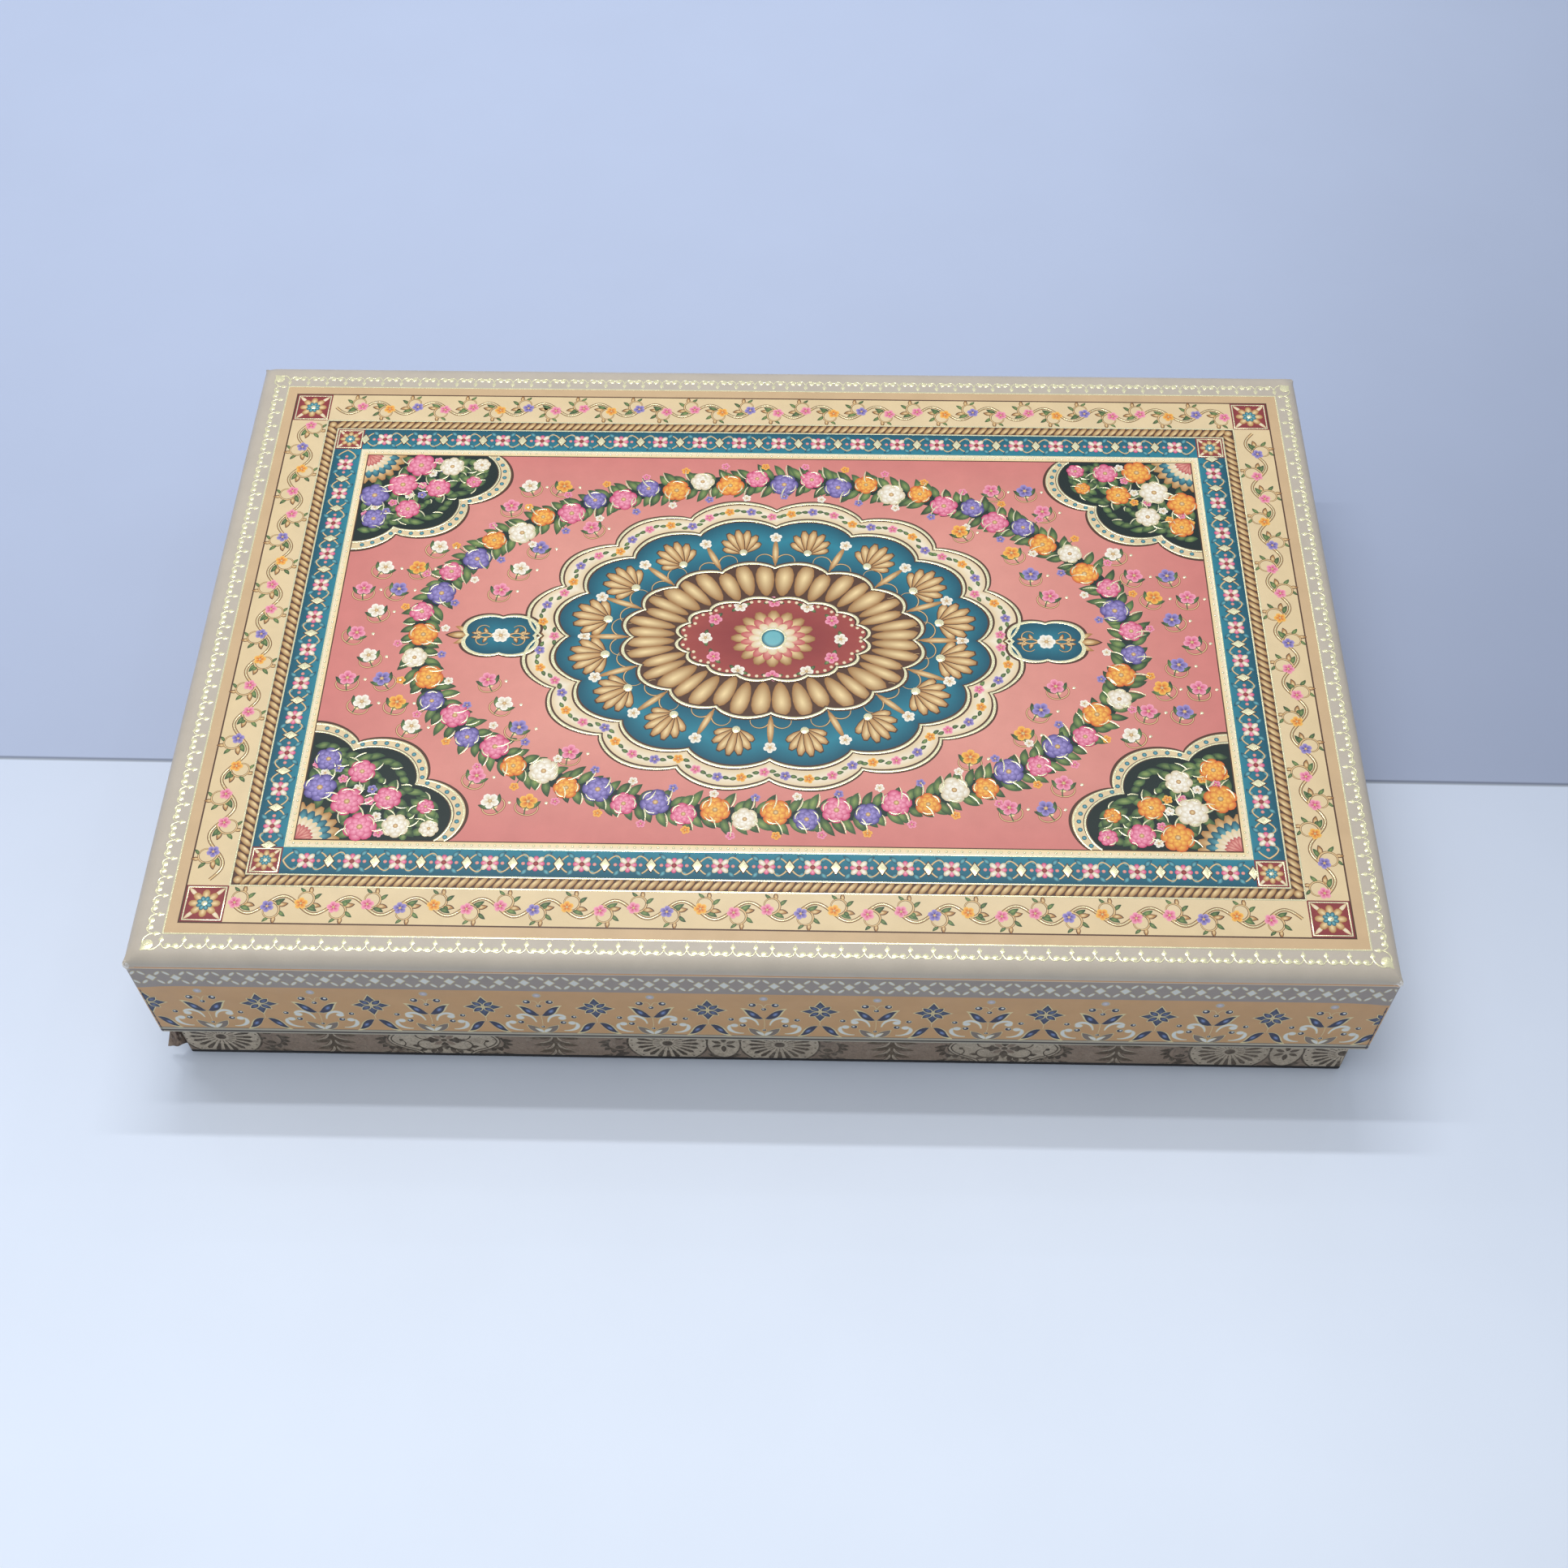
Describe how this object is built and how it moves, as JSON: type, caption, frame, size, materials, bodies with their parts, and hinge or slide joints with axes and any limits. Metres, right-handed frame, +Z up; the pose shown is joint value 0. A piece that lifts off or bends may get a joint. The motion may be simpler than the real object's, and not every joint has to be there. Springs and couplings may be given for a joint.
{
  "type": "hamper box",
  "caption": "Rectangular paper-covered rigid box: an open tray and a padded lid with a deep skirt that lifts straight off.",
  "frame": {"origin": "centre of the rectangle that the box stands on", "axes": "+X along the box's length, -Y towards its front, +Z up, the way the lid lifts"},
  "size_m": [0.3818, 0.2538, 0.068],
  "materials": {
    "greyboard": "matte",
    "corner_tape": "matte",
    "lid_print": "satin print with gold foil lines",
    "tray_print": "satin print",
    "lining_paper": "matte",
    "underside_paper": "matte",
    "foam": "soft foam"
  },
  "bodies": {
    "tray": {"tray_bottom_board": "greyboard", "tray_front_board": "greyboard", "tray_back_board": "greyboard", "tray_left_board": "greyboard", "tray_right_board": "greyboard", "tray_corner_tape_front_left": "corner_tape", "tray_corner_tape_front_right": "corner_tape", "tray_corner_tape_back_right": "corner_tape", "tray_corner_tape_back_left": "corner_tape", "tray_cover": "tray_print", "tray_lining": "lining_paper", "tray_underside_sheet": "underside_paper"},
    "lid": {"lid_top_board": "greyboard", "lid_front_board": "greyboard", "lid_back_board": "greyboard", "lid_left_board": "greyboard", "lid_right_board": "greyboard", "lid_corner_tape_front_left": "corner_tape", "lid_corner_tape_front_right": "corner_tape", "lid_corner_tape_back_right": "corner_tape", "lid_corner_tape_back_left": "corner_tape", "lid_lining": "lining_paper", "lid_foam_pad": "foam", "lid_cover": "lid_print"}
  },
  "joints": [
    {"name": "lid_lift", "type": "slide", "parent": "tray", "child": "lid", "axis": [0, 0, 1], "range_m": [0, 0.1]}
  ]
}
